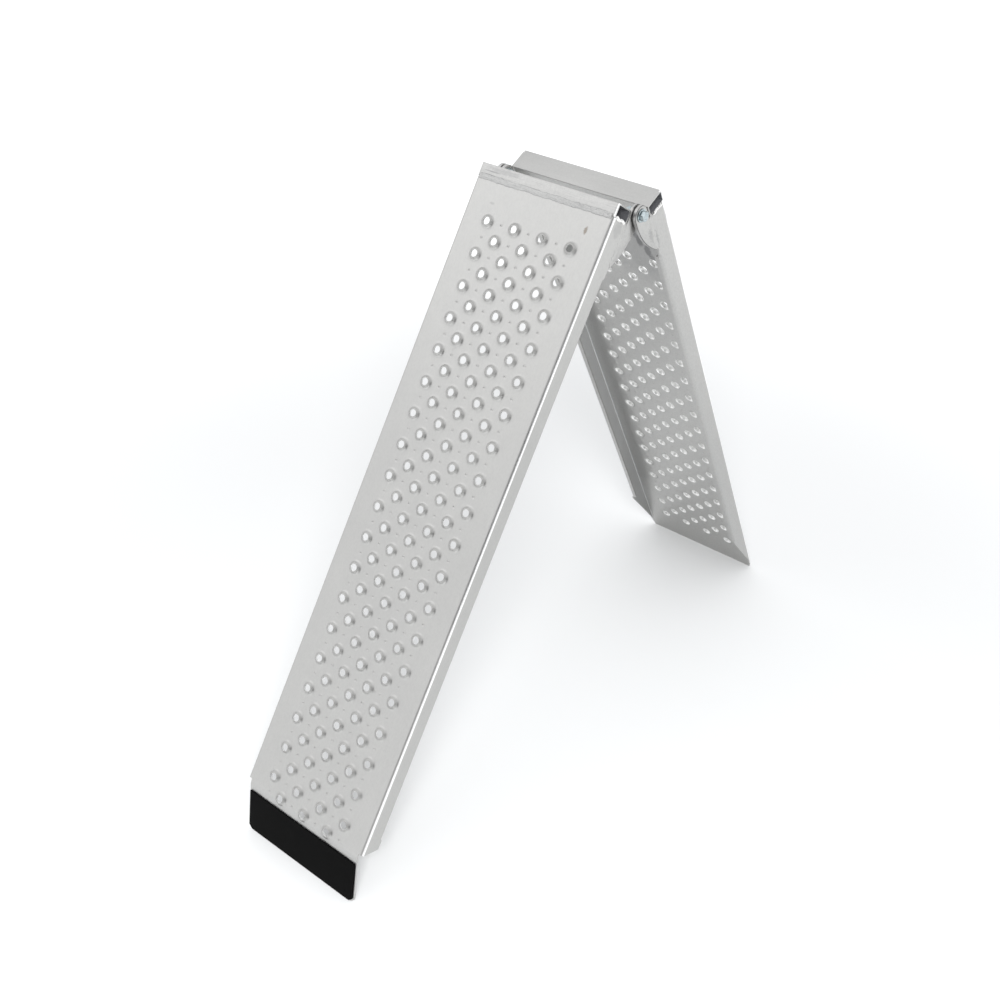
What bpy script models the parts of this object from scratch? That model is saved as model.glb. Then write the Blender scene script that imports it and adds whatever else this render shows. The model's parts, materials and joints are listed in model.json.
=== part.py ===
"""Folding loading ramp: two punched sheet channels, hinged under their butting end tubes.

The ramp stands half folded. Its origin is on the ground, in the middle of its footprint: X runs across the
ramp, the upper half leans towards -Y and the lower half towards +Y. Each half is modelled flat, in the frame
of an empty that lies on the hinge axis: its deck faces local +Z, the upper half runs along local -Y and the
lower half along local +Y.
"""
import math

import bmesh
import bpy
from mathutils import Matrix

MM = 0.001

# Punched channels
DECK_WIDTH = 225 * MM
SHEET = 3 * MM
CHANNEL_DEPTH = 33 * MM         # deck's top face to the flange's free edge
FOLD_RADIUS = 4.5 * MM          # outside of each fold
RETURN_WIDTH = 10.5 * MM        # return lip along the flange's free edge
RETURN_START = 95 * MM          # along the half, from the hinge axis
UPPER_FLANGE_END = 920.5 * MM
UPPER_RETURN_END = 905 * MM
LOWER_DECK_END = 1004 * MM
LOWER_RETURN_END = 860 * MM
TAPER_START = 868 * MM
TAPER_END = 980 * MM
END_CORNER = (4.5 * MM, 24 * MM)  # clipped off the ground end: across, along

# Punched holes, in a staggered grid
HOLE_STEP = 22.9 * MM           # to the next row, and to the next column
HOLE_RADIUS = 5.2 * MM
HOLE_SIDES = 8
UPPER_FIRST_ROW = 73.5 * MM
UPPER_ROWS = 38
LOWER_FIRST_ROW = 157.7 * MM
LOWER_ROWS = 35

# Loading lip and its pad
LIP_WIDTH = 211 * MM
LIP_START = 921.5 * MM
LIP_BEND_RADIUS = 20 * MM
LIP_BEND = math.radians(25)
LIP_STRAIGHT = 79 * MM
PAD_SETBACK = 9 * MM            # from the end of the bend to the pad
PAD_THICKNESS = 2 * MM
PAD_CORNER = 6 * MM

# Hinge
PIVOT_DEPTH = 48.5 * MM         # deck's top face to the hinge axis
FOLD_ANGLE = math.radians(61.3)  # between the two halves, as the ramp stands
SIDE_SHIFT = 7.2 * MM           # the lower half sits this far to +X of the upper half
TUBE_LENGTH = 18 * MM           # along the half
TUBE_WALL = 2 * MM
BUTT_GAP = 0.5 * MM             # from the plane of the hinge axis to each tube
EAR_THICKNESS = 5 * MM
EAR_NOSE = 13 * MM
EAR_REACH = 78 * MM
EAR_BULGE_START = 8 * MM
BOLT_RADIUS = 4 * MM
BOLT_HEAD_WIDTH = 13 * MM       # across flats
BOLT_HEAD_HEIGHT = 5.3 * MM
WASHER_RADIUS = 9 * MM
WASHER_THICKNESS = 1.6 * MM
SPACER_THICKNESS = 1.6 * MM
NUT_HEX_HEIGHT = 6.5 * MM
NUT_COLLAR_HEIGHT = 2.5 * MM
NUT_COLLAR_RADIUS = 5.9 * MM
BOLT_TAIL = 2.5 * MM            # thread past the nut
GAP = 0.3 * MM                  # between pieces that touch

# Weld beads
SEAM_WELD_WIDTH = 8 * MM
SEAM_WELD_HEIGHT = 0.5 * MM
SIDE_WELD_RADIUS = 2 * MM
EAR_WELD_WIDTH = 4 * MM
EAR_WELD_HEIGHT = 1.1 * MM
EAR_WELD_SPAN = (22 * MM, 68 * MM)

DECK_TOP = PIVOT_DEPTH
DECK_UNDERSIDE = DECK_TOP - SHEET
FREE_EDGE = DECK_TOP - CHANNEL_DEPTH
HALF_WIDTH = DECK_WIDTH / 2
SEAM = BUTT_GAP + TUBE_LENGTH   # where the tube ends and the deck begins
LIP_END = LIP_START + LIP_BEND_RADIUS * math.sin(LIP_BEND) + LIP_STRAIGHT * math.cos(LIP_BEND)
LIP_DROP = LIP_BEND_RADIUS * (1 - math.cos(LIP_BEND)) + LIP_STRAIGHT * math.sin(LIP_BEND)

UPPER, LOWER = -1, 1            # the way each half runs along local Y


# ---------------------------------------------------------------- scene, materials and placing

def new_scene():
    """Empties the scene and makes one collection for the parts and one for the cutters."""
    for old in list(bpy.data.objects):
        bpy.data.objects.remove(old)
    collections = []
    for name in ("folding_loading_ramp", "cutters"):
        collection = bpy.data.collections.new(name)
        bpy.context.scene.collection.children.link(collection)
        collections.append(collection)
    return collections


def material(name, color, metallic, roughness):
    made = bpy.data.materials.new(name)
    made.use_nodes = True
    shader = made.node_tree.nodes["Principled BSDF"]
    shader.inputs["Base Color"].default_value = (*color, 1)
    shader.inputs["Metallic"].default_value = metallic
    shader.inputs["Roughness"].default_value = roughness
    return made


def foot_angles():
    """Slopes of the upper and lower halves when both feet touch the ground."""
    lip_foot = (LIP_END - SHEET * math.sin(LIP_BEND), DECK_TOP - LIP_DROP - SHEET * math.cos(LIP_BEND))
    deck_foot = (LOWER_DECK_END, DECK_UNDERSIDE)
    across, along = math.sin(FOLD_ANGLE), math.cos(FOLD_ANGLE)
    rise = lip_foot[1] + deck_foot[0] * across + deck_foot[1] * along
    run = lip_foot[0] - deck_foot[0] * along + deck_foot[1] * across
    upper = math.atan2(rise, run)
    height = lip_foot[0] * math.sin(upper) - lip_foot[1] * math.cos(upper)
    return upper, math.pi - FOLD_ANGLE - upper, height


def reach(slope, along, up):
    """How far out from the hinge axis a point of a half lies, on the ground."""
    return along * math.cos(slope) + up * math.sin(slope)


def leg_frame(name, collection, side, slope, height, pivot_y):
    """The empty on the hinge axis that one half hangs from."""
    empty = bpy.data.objects.new(name, None)
    empty.location = (side * SIDE_SHIFT / 2, pivot_y, height)
    empty.rotation_euler.x = -side * slope
    empty.empty_display_size = 0.05
    collection.objects.link(empty)
    return empty


def place(made, collection, parent=None, finish=None):
    """Links an object, hangs it from its parent and gives it its material."""
    for old in made.users_collection:
        old.objects.unlink(made)
    collection.objects.link(made)
    made.parent = parent
    if finish:
        made.data.materials.clear()
        made.data.materials.append(finish)
    return made


def own_finish(name, base):
    """A copy of a material for one object."""
    made = base.copy()
    made.name = name
    return made


# ---------------------------------------------------------------- shapes

def arc(center_x, center_y, radius, start, end, steps):
    """Points on an arc, from start to end in degrees."""
    points = []
    for i in range(steps + 1):
        angle = math.radians(start + (end - start) * i / steps)
        points.append((center_x + radius * math.cos(angle), center_y + radius * math.sin(angle)))
    return points


def outline_solid(name, outlines, thickness):
    """A flat plate: closed outlines in local XY, an inner one being a hole, centred on local Z = 0."""
    curve = bpy.data.curves.new(name, "CURVE")
    curve.dimensions = "2D"
    curve.fill_mode = "BOTH"
    curve.extrude = thickness / 2
    curve.resolution_u = 1
    for outline in outlines:
        spline = curve.splines.new("POLY")
        spline.points.add(len(outline) - 1)
        for point, (x, y) in zip(spline.points, outline):
            point.co = (x, y, 0, 1)
        spline.use_cyclic_u = True
    guide = bpy.data.objects.new(name, curve)
    bpy.context.scene.collection.objects.link(guide)
    bpy.context.view_layer.update()
    mesh = bpy.data.meshes.new_from_object(guide.evaluated_get(bpy.context.evaluated_depsgraph_get()))
    bpy.data.objects.remove(guide)
    work = bmesh.new()
    work.from_mesh(mesh)
    bmesh.ops.remove_doubles(work, verts=work.verts, dist=0.00001)
    bmesh.ops.recalc_face_normals(work, faces=work.faces)
    work.to_mesh(mesh)
    work.free()
    mesh.name = name
    return bpy.data.objects.new(name, mesh)


def across(made, x):
    """Turns a plate drawn in local XY so that it stands in the half's YZ plane, at x."""
    made.rotation_euler = (math.pi / 2, 0, math.pi / 2)
    made.location.x = x
    return made


def flat_at(made, z):
    """Keeps a plate drawn in local XY in the half's XY plane, at height z."""
    made.location.z = z
    return made


def along(side, points):
    """Outline points given as (distance from the hinge axis, height) in a half's YZ plane."""
    return [(side * distance, height) for distance, height in points]


def cut(target, cutter, cutters):
    """Cuts one object with another, which stays in the cutters' collection as a guide."""
    place(cutter, cutters, target.parent)
    cutter.hide_render = True
    cutter.display_type = "WIRE"
    boolean = target.modifiers.new(cutter.name, "BOOLEAN")
    boolean.operation = "DIFFERENCE"
    boolean.solver = "EXACT"
    boolean.object = cutter


# ---------------------------------------------------------------- channels

def channel_half_profile():
    """Outer skin of the folded section, from the middle of the deck to the return lip, as (x, z)."""
    fold_x = HALF_WIDTH - FOLD_RADIUS
    points = [(0, DECK_TOP), (LIP_WIDTH / 2, DECK_TOP)]
    points += arc(fold_x, DECK_TOP - FOLD_RADIUS, FOLD_RADIUS, 90, 0, 3)
    points += arc(fold_x, FREE_EDGE + FOLD_RADIUS, FOLD_RADIUS, 0, -90, 3)
    points.append((HALF_WIDTH - RETURN_WIDTH, FREE_EDGE))
    return points


def lip_path():
    """Deck-top points of the lip, as (distance from the hinge axis, height)."""
    bend = arc(LIP_START, DECK_TOP - LIP_BEND_RADIUS, LIP_BEND_RADIUS, 90, 90 - math.degrees(LIP_BEND), 4)
    return bend + [(LIP_END, DECK_TOP - LIP_DROP)]


def folded_channel(name, side, end, with_lip):
    """One half of the folded sheet, mirrored and thickened inwards."""
    work = bmesh.new()
    start_row = [work.verts.new((x, side * (SEAM + GAP), z)) for x, z in channel_half_profile()]
    edges = [work.edges.new(pair) for pair in zip(start_row, start_row[1:])]
    strip = bmesh.ops.extrude_edge_only(work, edges=edges)["geom"]
    end_row = [item for item in strip if isinstance(item, bmesh.types.BMVert)]
    bmesh.ops.translate(work, verts=end_row, vec=(0, side * (end - SEAM - GAP), 0))
    if with_lip:
        root = [vert for vert in end_row if vert.co.x < LIP_WIDTH / 2 + GAP and vert.co.z > DECK_UNDERSIDE]
        edge = next(item for item in strip if isinstance(item, bmesh.types.BMEdge)
                    and all(vert in root for vert in item.verts))
        for distance, height in lip_path():
            grown = bmesh.ops.extrude_edge_only(work, edges=[edge])["geom"]
            edge = next(item for item in grown if isinstance(item, bmesh.types.BMEdge))
            for vert in edge.verts:
                vert.co.y, vert.co.z = side * distance, height
    bmesh.ops.recalc_face_normals(work, faces=work.faces)
    deck_face = max(work.faces, key=lambda face: face.calc_area())
    if deck_face.normal.z < 0:
        bmesh.ops.reverse_faces(work, faces=work.faces)
    mesh = bpy.data.meshes.new(name)
    work.to_mesh(mesh)
    work.free()
    channel = bpy.data.objects.new(name, mesh)
    mirror = channel.modifiers.new("other side", "MIRROR")
    mirror.use_clip = True
    mirror.merge_threshold = 0.00001
    thicken = channel.modifiers.new("sheet", "SOLIDIFY")
    thicken.thickness = SHEET
    thicken.offset = -1
    thicken.use_even_offset = True
    return channel


def hole_cutter(name, side, first_row, rows):
    """All the punched holes of a deck: four in the even rows, three in the odd rows between them."""
    work = bmesh.new()
    for row in range(rows):
        columns = (-3, -1, 1, 3) if row % 2 == 0 else (-2, 0, 2)
        for column in columns:
            center = (column * HOLE_STEP, side * (first_row + row * HOLE_STEP), DECK_TOP)
            if first_row + row * HOLE_STEP > LIP_START - HOLE_RADIUS:
                center = (center[0], center[1], DECK_TOP - SHEET / 2)
            bmesh.ops.create_cone(work, cap_ends=True, segments=HOLE_SIDES, radius1=HOLE_RADIUS,
                                  radius2=HOLE_RADIUS, depth=4 * SHEET, matrix=Matrix.Translation(center))
    mesh = bpy.data.meshes.new(name)
    work.to_mesh(mesh)
    work.free()
    return bpy.data.objects.new(name, mesh)


def return_lip_cutter(name, side, end, far):
    """Takes the return lips off both ends of the flanges and leaves their corners round."""
    wall, inner = HALF_WIDTH - SHEET, HALF_WIDTH - RETURN_WIDTH
    radius = wall - inner
    clear = inner - 2 * MM
    hinge_end = [(wall, 0), (wall, RETURN_START)]
    hinge_end += arc(wall, RETURN_START + radius, radius, 270, 180, 4)[1:]
    hinge_end += [(clear, RETURN_START + radius), (clear, 0)]
    foot_end = [(wall, far), (wall, end)]
    foot_end += arc(wall, end - radius, radius, 90, 180, 4)[1:]
    foot_end += [(clear, end - radius), (clear, far)]
    outlines = []
    for mirrored in (-1, 1):
        for shape in (hinge_end, foot_end):
            outlines.append([(mirrored * x, side * y) for x, y in shape])
    height = FOLD_RADIUS + 4 * MM
    return flat_at(outline_solid(name, outlines, height), FREE_EDGE + FOLD_RADIUS - height / 2)


def upper_deck(frame, parts, cutters, finish):
    deck = place(folded_channel("upper_deck", UPPER, UPPER_FLANGE_END, True), parts, frame, finish)
    cut(deck, hole_cutter("upper_holes", UPPER, UPPER_FIRST_ROW, UPPER_ROWS), cutters)
    cut(deck, return_lip_cutter("upper_return_ends", UPPER, UPPER_RETURN_END, UPPER_FLANGE_END + MM), cutters)
    # The flange's end runs back a little to its free edge, and its corner is clipped.
    flange_end = [(UPPER_FLANGE_END + MM, FREE_EDGE - 2 * MM),
                  (UPPER_FLANGE_END + MM, DECK_TOP - FOLD_RADIUS),
                  (UPPER_FLANGE_END, DECK_TOP - FOLD_RADIUS),
                  (UPPER_FLANGE_END - 6 * MM, FREE_EDGE + 4 * MM),
                  (UPPER_FLANGE_END - 10 * MM, FREE_EDGE),
                  (UPPER_FLANGE_END - 12 * MM, FREE_EDGE - 2 * MM)]
    cut(deck, across(outline_solid("upper_flange_ends", [along(UPPER, flange_end)], 2 * DECK_WIDTH), 0), cutters)


def lower_deck(frame, parts, cutters, finish):
    deck = place(folded_channel("lower_deck", LOWER, LOWER_DECK_END, False), parts, frame, finish)
    cut(deck, hole_cutter("lower_holes", LOWER, LOWER_FIRST_ROW, LOWER_ROWS), cutters)
    cut(deck, return_lip_cutter("lower_return_ends", LOWER, LOWER_RETURN_END, LOWER_DECK_END + MM), cutters)
    # The long diagonal lets the ground end lie flat on the ground when the ramp slopes.
    past_end = LOWER_DECK_END + 5 * MM
    taper_top = DECK_TOP - FOLD_RADIUS
    slope = (taper_top - FREE_EDGE) / (TAPER_END - TAPER_START)
    taper = [(TAPER_START - 5 * MM, FREE_EDGE - 5 * MM * slope), (TAPER_END, taper_top),
             (past_end, taper_top), (past_end, FREE_EDGE - 10 * MM), (TAPER_START - 5 * MM, FREE_EDGE - 10 * MM)]
    cut(deck, across(outline_solid("lower_taper", [along(LOWER, taper)], 2 * DECK_WIDTH), 0), cutters)
    clip, run = END_CORNER
    corners = []
    for mirrored in (-1, 1):
        corners.append([(mirrored * HALF_WIDTH, LOWER_DECK_END - run),
                        (mirrored * (HALF_WIDTH - clip), LOWER_DECK_END),
                        (mirrored * (HALF_WIDTH - clip), past_end), (mirrored * (HALF_WIDTH + clip), past_end),
                        (mirrored * (HALF_WIDTH + clip), LOWER_DECK_END - run)])
    cut(deck, flat_at(outline_solid("lower_end_corners", corners, 4 * FOLD_RADIUS), DECK_TOP), cutters)


def grip_pad(frame, parts, finish):
    """The pad lies on the lip's traction side, from just past the bend to the end."""
    length = LIP_STRAIGHT - PAD_SETBACK - MM
    half = LIP_WIDTH / 2 - 1.5 * MM
    outline = [(-half, 0), (half, 0), (half, -length + PAD_CORNER), (half - PAD_CORNER, -length),
               (PAD_CORNER - half, -length), (-half, PAD_CORNER - length)]
    pad = outline_solid("lip_grip_pad", [outline], PAD_THICKNESS)
    lift = GAP + PAD_THICKNESS / 2
    bend_end = LIP_START + LIP_BEND_RADIUS * math.sin(LIP_BEND)
    bend_drop = LIP_BEND_RADIUS * (1 - math.cos(LIP_BEND))
    distance = bend_end + PAD_SETBACK * math.cos(LIP_BEND) + lift * math.sin(LIP_BEND)
    height = DECK_TOP - bend_drop - PAD_SETBACK * math.sin(LIP_BEND) + lift * math.cos(LIP_BEND)
    pad.location = (0, -distance, height)
    pad.rotation_euler.x = LIP_BEND
    place(pad, parts, frame, finish)


# ---------------------------------------------------------------- hinge

def end_tube(name, side, frame, parts, finish):
    """Rectangular tube across the hinge end, open at both ends."""
    near, far, wall = BUTT_GAP, SEAM, TUBE_WALL
    outer = [(near, FREE_EDGE), (far, FREE_EDGE), (far, DECK_TOP), (near, DECK_TOP)]
    inner = [(near + wall, FREE_EDGE + wall), (far - wall, FREE_EDGE + wall),
             (far - wall, DECK_TOP - wall), (near + wall, DECK_TOP - wall)]
    tube = outline_solid(name, [along(side, outer), along(side, inner)], DECK_WIDTH)
    place(across(tube, 0), parts, frame, finish)


def ear_outline():
    """Round nose about the hinge axis, a long bulging edge, and a straight edge under the flange."""
    rise = 2 * EAR_NOSE
    reach_past = EAR_REACH - EAR_BULGE_START
    bulge_radius = (reach_past ** 2 + rise ** 2) / (2 * rise)
    sweep = math.degrees(math.asin(reach_past / bulge_radius))
    nose = arc(0, 0, EAR_NOSE, 90, 270, 12)
    bulge = arc(EAR_BULGE_START, bulge_radius - EAR_NOSE, bulge_radius, 270, 270 + sweep, 10)
    return nose + bulge


def hinge_ear(name, side, x, frame, parts, finish):
    hole = arc(0, 0, BOLT_RADIUS + GAP, 0, 345, 23)
    ear = outline_solid(name, [along(side, ear_outline()), hole], EAR_THICKNESS)
    place(across(ear, x), parts, frame, finish)


def washer(name, x, thickness, frame, parts, finish):
    rim = arc(0, 0, WASHER_RADIUS, 0, 345, 23)
    hole = arc(0, 0, BOLT_RADIUS + GAP, 0, 345, 23)
    place(across(outline_solid(name, [rim, hole], thickness), x), parts, frame, finish)


def hexagon(width):
    return arc(0, 0, width / math.sqrt(3), 30, 330, 5)


def join(first, second, cutters):
    """Unites two overlapping solids into the first."""
    place(second, cutters, first.parent)
    second.hide_render = True
    second.display_type = "WIRE"
    boolean = first.modifiers.new(second.name, "BOOLEAN")
    boolean.operation = "UNION"
    boolean.solver = "EXACT"
    boolean.object = second


def hinge_bolt(name, head_x, outward, length, frame, parts, cutters, finish):
    """Hex head whose seat is at head_x, with its shank running inwards."""
    head = outline_solid(name, [hexagon(BOLT_HEAD_WIDTH)], BOLT_HEAD_HEIGHT)
    place(across(head, head_x + outward * BOLT_HEAD_HEIGHT / 2), parts, frame, finish)
    chamfer = head.modifiers.new("edges", "BEVEL")
    chamfer.width = 0.6 * MM
    chamfer.segments = 1
    overlap = 2 * MM
    shank = outline_solid(name + "_shank", [arc(0, 0, BOLT_RADIUS, 0, 345, 23)], length + overlap)
    across(shank, head_x - outward * (length - overlap) / 2)
    join(head, shank, cutters)


def lock_nut(name, seat_x, outward, frame, parts, cutters, finish):
    """Hex nut with a round collar on its inner side."""
    bore = arc(0, 0, BOLT_RADIUS + GAP, 0, 345, 23)
    nut = outline_solid(name, [hexagon(BOLT_HEAD_WIDTH), bore], NUT_HEX_HEIGHT)
    place(across(nut, seat_x - outward * NUT_HEX_HEIGHT / 2), parts, frame, finish)
    overlap = MM
    collar_length = NUT_COLLAR_HEIGHT + overlap
    collar = outline_solid(name + "_collar", [arc(0, 0, NUT_COLLAR_RADIUS, 0, 345, 23), bore], collar_length)
    across(collar, seat_x - outward * (NUT_HEX_HEIGHT - overlap + collar_length / 2))
    join(nut, collar, cutters)


def hinge_side(name, outward, frame, parts, cutters, finishes):
    """Bolt, washers, spacer and lock nut of one side, all carried by the upper half's frame."""
    # The lower half is shifted to +X, so its ear is the outer one on the right and the inner one on the left.
    outer_face = HALF_WIDTH + (SIDE_SHIFT if outward > 0 else 0)
    head_washer = outer_face + GAP
    head_seat = head_washer + WASHER_THICKNESS + GAP
    spacer = outer_face - EAR_THICKNESS - GAP
    inner_face = outer_face - SIDE_SHIFT - EAR_THICKNESS
    nut_washer = inner_face - GAP
    nut_seat = nut_washer - WASHER_THICKNESS - GAP
    bolt_end = nut_seat - NUT_HEX_HEIGHT - NUT_COLLAR_HEIGHT - BOLT_TAIL
    zinc, steel = finishes
    washer("head_washer_" + name, outward * (head_washer + WASHER_THICKNESS / 2), WASHER_THICKNESS,
           frame, parts, own_finish("head_washer_" + name, zinc))
    washer("spacer_washer_" + name, outward * (spacer - SPACER_THICKNESS / 2), SPACER_THICKNESS,
           frame, parts, own_finish("spacer_washer_" + name, steel))
    washer("nut_washer_" + name, outward * (nut_washer - WASHER_THICKNESS / 2), WASHER_THICKNESS,
           frame, parts, own_finish("nut_washer_" + name, zinc))
    hinge_bolt("hinge_bolt_" + name, outward * head_seat, outward, head_seat - bolt_end,
               frame, parts, cutters, own_finish("hinge_bolt_" + name, zinc))
    lock_nut("lock_nut_" + name, outward * nut_seat, outward, frame, parts, cutters,
             own_finish("lock_nut_" + name, zinc))


# ---------------------------------------------------------------- welds

def lens(width, height, steps):
    """Flat-bottomed bead section, centred on x = 0 and standing on y = 0."""
    radius = (width ** 2 / 4 + height ** 2) / (2 * height)
    half_sweep = math.degrees(math.asin(min(1, width / 2 / radius)))
    return arc(0, height - radius, radius, 90 - half_sweep, 90 + half_sweep, steps)


def seam_weld(name, side, frame, parts, finish):
    """Ground bead across the deck, over the seam between tube and deck."""
    section = [(side * SEAM + y, DECK_TOP + GAP + z) for y, z in lens(SEAM_WELD_WIDTH, SEAM_WELD_HEIGHT, 4)]
    bead = outline_solid(name, [section], DECK_WIDTH - 2 * FOLD_RADIUS)
    place(across(bead, 0), parts, frame, finish)


def side_weld(name, side, outward, frame, parts, finish):
    """Upright bead on the outside, between the tube's end and the flange."""
    section = [(outward * (HALF_WIDTH + GAP + z), side * SEAM + y)
               for y, z in lens(2 * SIDE_WELD_RADIUS, 0.75 * SIDE_WELD_RADIUS, 5)]
    height = CHANNEL_DEPTH - 2 * FOLD_RADIUS
    bead = outline_solid(name, [section], height)
    place(flat_at(bead, (DECK_TOP + FREE_EDGE) / 2), parts, frame, finish)


def ear_weld(name, side, outward, frame, parts, finish):
    """Low bead on the outside, along the joint between ear and flange."""
    start, end = EAR_WELD_SPAN
    section = [(outward * (HALF_WIDTH + GAP + z), y) for y, z in lens(EAR_WELD_WIDTH, EAR_WELD_HEIGHT, 4)]
    bead = outline_solid(name, [section], end - start)
    bead.rotation_euler.x = math.pi / 2
    bead.location = (0, side * (start + end) / 2, FREE_EDGE)
    place(bead, parts, frame, finish)


# ---------------------------------------------------------------- assembly

def build():
    parts, cutters = new_scene()
    aluminium = material("aluminium sheet", (0.72, 0.72, 0.71), 1.0, 0.42)
    plate = material("aluminium plate", (0.68, 0.68, 0.67), 1.0, 0.38)
    weld = material("weld metal", (0.62, 0.62, 0.61), 1.0, 0.35)
    zinc = material("zinc plated steel", (0.60, 0.66, 0.68), 1.0, 0.30)
    steel = material("plain steel", (0.50, 0.50, 0.50), 1.0, 0.40)
    rubber = material("black rubber", (0.02, 0.02, 0.02), 0.0, 0.85)

    upper_slope, lower_slope, pivot_height = foot_angles()
    pad_corner = LIP_END + (GAP + PAD_THICKNESS) * math.sin(LIP_BEND)
    pad_height = DECK_TOP - LIP_DROP + (GAP + PAD_THICKNESS) * math.cos(LIP_BEND)
    pad_inset = MM * math.cos(upper_slope + LIP_BEND)
    upper_reach = reach(upper_slope, pad_corner, pad_height) - pad_inset
    lower_reach = reach(lower_slope, LOWER_DECK_END, DECK_TOP)
    pivot_y = (upper_reach - lower_reach) / 2
    frames = {}
    for side, label, slope in ((UPPER, "upper", upper_slope), (LOWER, "lower", lower_slope)):
        frames[side] = leg_frame(label + "_half_on_hinge_axis", parts, side, slope, pivot_height, pivot_y)

    upper_deck(frames[UPPER], parts, cutters, own_finish("upper_deck", aluminium))
    lower_deck(frames[LOWER], parts, cutters, own_finish("lower_deck", aluminium))
    grip_pad(frames[UPPER], parts, rubber)

    ear_x = HALF_WIDTH - EAR_THICKNESS / 2
    for side, label in ((UPPER, "upper"), (LOWER, "lower")):
        frame = frames[side]
        name = label + "_end_tube"
        end_tube(name, side, frame, parts, own_finish(name, plate))
        name = label + "_seam_weld"
        seam_weld(name, side, frame, parts, own_finish(name, weld))
        for outward, hand in ((1, "right"), (-1, "left")):
            name = f"{label}_hinge_ear_{hand}"
            hinge_ear(name, side, outward * ear_x, frame, parts, own_finish(name, plate))
            name = f"{label}_tube_weld_{hand}"
            side_weld(name, side, outward, frame, parts, own_finish(name, weld))
            name = f"{label}_ear_weld_{hand}"
            ear_weld(name, side, outward, frame, parts, own_finish(name, weld))
    for outward, hand in ((1, "right"), (-1, "left")):
        hinge_side(hand, outward, frames[UPPER], parts, cutters, (zinc, steel))
    bpy.context.view_layer.update()


build()
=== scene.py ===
"""The folding loading ramp's looks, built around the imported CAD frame.

Each half's pieces are modelled in that half's own frame, on the hinge axis: x across the ramp, y along the half
(the upper half runs towards -y, the lower half towards +y) and z out of the deck. Lengths "s" are distances from
the hinge axis along the half, and heights "z" in the skins are measured from the deck's top face.
"""

import math

import bmesh
import bpy
import numpy as np
from mathutils import Matrix, Vector
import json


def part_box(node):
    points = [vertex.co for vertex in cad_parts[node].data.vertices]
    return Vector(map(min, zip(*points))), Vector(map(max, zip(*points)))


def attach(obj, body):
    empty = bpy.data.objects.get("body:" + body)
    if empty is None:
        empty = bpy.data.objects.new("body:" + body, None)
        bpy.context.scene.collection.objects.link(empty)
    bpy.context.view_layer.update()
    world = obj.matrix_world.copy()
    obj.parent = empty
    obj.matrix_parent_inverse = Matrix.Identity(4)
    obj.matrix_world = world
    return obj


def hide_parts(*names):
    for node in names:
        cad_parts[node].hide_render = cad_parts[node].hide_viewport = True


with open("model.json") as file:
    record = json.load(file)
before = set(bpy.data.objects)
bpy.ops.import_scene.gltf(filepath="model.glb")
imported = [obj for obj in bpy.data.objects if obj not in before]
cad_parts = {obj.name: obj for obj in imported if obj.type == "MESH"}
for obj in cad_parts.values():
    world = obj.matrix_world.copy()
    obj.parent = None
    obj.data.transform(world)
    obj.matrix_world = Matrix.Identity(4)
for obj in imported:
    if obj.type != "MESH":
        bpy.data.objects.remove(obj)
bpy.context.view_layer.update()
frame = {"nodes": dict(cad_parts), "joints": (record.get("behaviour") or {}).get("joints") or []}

MM = 0.001
UPPER, LOWER = -1, 1
BODY = {UPPER: "upper_half", LOWER: "lower_half"}
LABEL = {UPPER: "upper", LOWER: "lower"}

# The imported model's own dimensions
PIVOT = Vector(frame["joints"][0]["pos_m"])
SLOPE = {UPPER: math.radians(58.5664), LOWER: math.radians(60.1336)}
SIDE_SHIFT = 7.2 * MM
DECK_TOP = 48.5 * MM
SHEET = 3 * MM
HALF_WIDTH = 112.5 * MM
DEPTH = 33 * MM
FOLD = 4.5 * MM
RETURN = 10.5 * MM
DECK_START = 18.8 * MM
HOLE_STEP = 22.9 * MM
FIRST_ROW = {UPPER: 73.5 * MM, LOWER: 157.7 * MM}
ROWS = {UPPER: 38, LOWER: 35}
FLANGE_END = 920.8 * MM
LIP_HALF = 105.5 * MM
LIP_START = 921.5 * MM
LIP_RADIUS = 20 * MM
LIP_BEND = math.radians(25)
LIP_STRAIGHT = 79 * MM
LIP_PATH_END = LIP_START + LIP_RADIUS * LIP_BEND + LIP_STRAIGHT
LOWER_END = 1004 * MM
RETURN_SPAN = {UPPER: (95 * MM, 905 * MM), LOWER: (95 * MM, 860 * MM)}
CORNER_REACH = 15.3 * MM         # length of edge whose points are drawn together round a return lip's corner
RAKE_START = 880 * MM            # from here on the upper flanges' ends lean back towards the hinge
FLANGE_RAKE, RETURN_RAKE = 6 * MM, 4.5 * MM  # down the flange, and further across its return lip
LIP_CORNER = 5 * MM              # width over which the lip's end corners are cut back
LIP_CORNER_START = 990 * MM
TAPER = (868 * MM, 980 * MM)
END_CORNER = (4.5 * MM, 24 * MM)
EDGE = 0.4 * MM                  # rounding of a plain cut edge
TUBE_SPAN = (0.5 * MM, 18.5 * MM)
TUBE_WALL = 2 * MM
EAR_FREE = 12 * MM               # an ear's edges below this height aren't welded to the flange
EAR_JOINT = 14.3 * MM            # middle of the welded gap between ear and flange
HEX_WIDTH = 12.9 * MM
CROWN = 6.1 * MM                 # round face left by a hexagon's chamfer
CHAMFER_SLOPE = 0.6
HEAD_HEIGHT = 5.3 * MM
NUT_HEIGHT = 6.5 * MM
THREAD_PITCH = 1.25 * MM

# Punched cones, above and below the sheet: rings of (radius, height) in mm, from the flat deck to the torn rim
CONE_TOP = [(11.4, 0), (10.6, 0.1), (9.75, 0.38), (8.9, 0.9), (8.05, 1.62), (7.25, 2.45), (6.5, 3.15), (5.9, 3.56),
            (5.4, 3.66), (5.08, 3.42)]
CONE_BELOW = [(11.4, -3), (10.2, -2.96), (9.1, -2.8), (8.1, -2.4), (7.3, -1.7), (6.65, -0.8), (6.15, 0.25),
              (5.75, 1.4), (5.4, 2.45), (5.12, 3.12)]
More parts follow.
